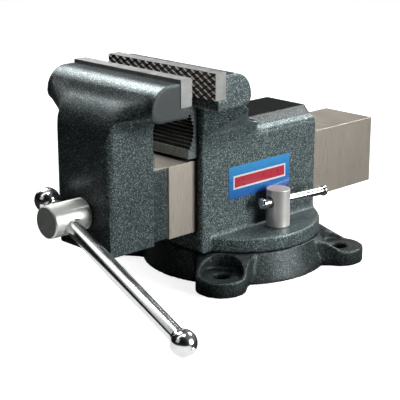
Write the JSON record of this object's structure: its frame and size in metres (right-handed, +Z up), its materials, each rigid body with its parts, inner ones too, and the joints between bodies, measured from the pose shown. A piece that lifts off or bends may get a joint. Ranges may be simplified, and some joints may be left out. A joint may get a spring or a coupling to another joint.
{
  "type": "bench vise",
  "caption": "Swivel-base bench vise with a rectangular slide bar, serrated jaw plates, pipe grips, a sliding T-handle and lock-down nuts.",
  "frame": {"origin": "on the swivel axis, at the underside of the base", "axes": "+X along the jaws to the right of someone at the handle, +Y along the screw from the handle to the back, +Z up"},
  "size_m": [0.2798, 0.4247, 0.2148],
  "materials": {
    "casting_paint": "speckled dark grey-green paint on cast iron",
    "ground_steel": "ground, with a crossed serration on the gripping face",
    "black_screw": "black oxide",
    "raw_iron": "bare casting, oiled",
    "raw_steel": "turned",
    "spring_steel": "oiled",
    "zinc": "bright zinc, satin",
    "chrome": "polished plating",
    "label_film": "printed film, plain bands and no lettering"
  },
  "bodies": {
    "base": {"swivel_base": "casting_paint"},
    "body": {"fixed_body": "casting_paint", "fixed_jaw_plate": "ground_steel", "fixed_plate_screws": "black_screw", "spindle_nut": "raw_iron", "nut_bolt": "black_screw", "nut_bolt_washer": "zinc", "side_label": "label_film", "lock_studs": "zinc"},
    "slide": {"moving_jaw": "casting_paint", "moving_jaw_plate": "ground_steel", "moving_plate_screws": "black_screw", "retaining_spring": "spring_steel"},
    "screw": {"lead_screw": "chrome", "thrust_washer": "zinc", "retaining_collar": "raw_steel", "split_pin": "zinc"},
    "handle": {"handle_rod": "chrome", "handle_ball_near": "chrome", "handle_ball_far": "chrome"},
    "right_nut": {"lock_nut_right": "zinc"},
    "left_nut": {"lock_nut_left": "zinc"},
    "right_bar": {"lock_bar_right": "chrome", "lock_buttons_right": "chrome"},
    "left_bar": {"lock_bar_left": "chrome", "lock_buttons_left": "chrome"}
  },
  "joints": [
    {"name": "swivel", "type": "hinge", "parent": "base", "child": "body", "pos_m": [0, 0, 0.0298], "axis": [0, 0, 1], "continuous": true},
    {"name": "jaw_slide", "type": "slide", "parent": "body", "child": "slide", "axis": [0, 1, 0], "range_m": [-0.1207, 0.0292]},
    {"name": "screw_turn", "type": "hinge", "parent": "slide", "child": "screw", "pos_m": [0, -0.222, 0.0874], "axis": [0, 1, 0], "range_deg": [-8692, 2104]},
    {"name": "handle_slide", "type": "slide", "parent": "screw", "child": "handle", "axis": [-0.9041, 0, 0.4274], "range_m": [0, 0.1455]},
    {"name": "lock_nut_right_turn", "type": "hinge", "parent": "body", "child": "right_nut", "pos_m": [0.0585, 0.002, 0.06], "axis": [0, 0, 1], "range_deg": [-1.5, 14.9]},
    {"name": "lock_nut_left_turn", "type": "hinge", "parent": "body", "child": "left_nut", "pos_m": [-0.0585, 0.002, 0.06], "axis": [0, 0, 1], "range_deg": [-14.9, 1.5]},
    {"name": "lock_bar_right_slide", "type": "slide", "parent": "right_nut", "child": "right_bar", "axis": [0.1167, 0.9932, 0], "range_m": [-0.0465, 0.0055]},
    {"name": "lock_bar_left_slide", "type": "slide", "parent": "left_nut", "child": "left_bar", "axis": [-0.1167, 0.9932, 0], "range_m": [-0.0465, 0.0055]}
  ],
  "couplings": [
    {"joint": "screw_turn", "follows": "jaw_slide", "rad_per_m": 1256.6}
  ]
}
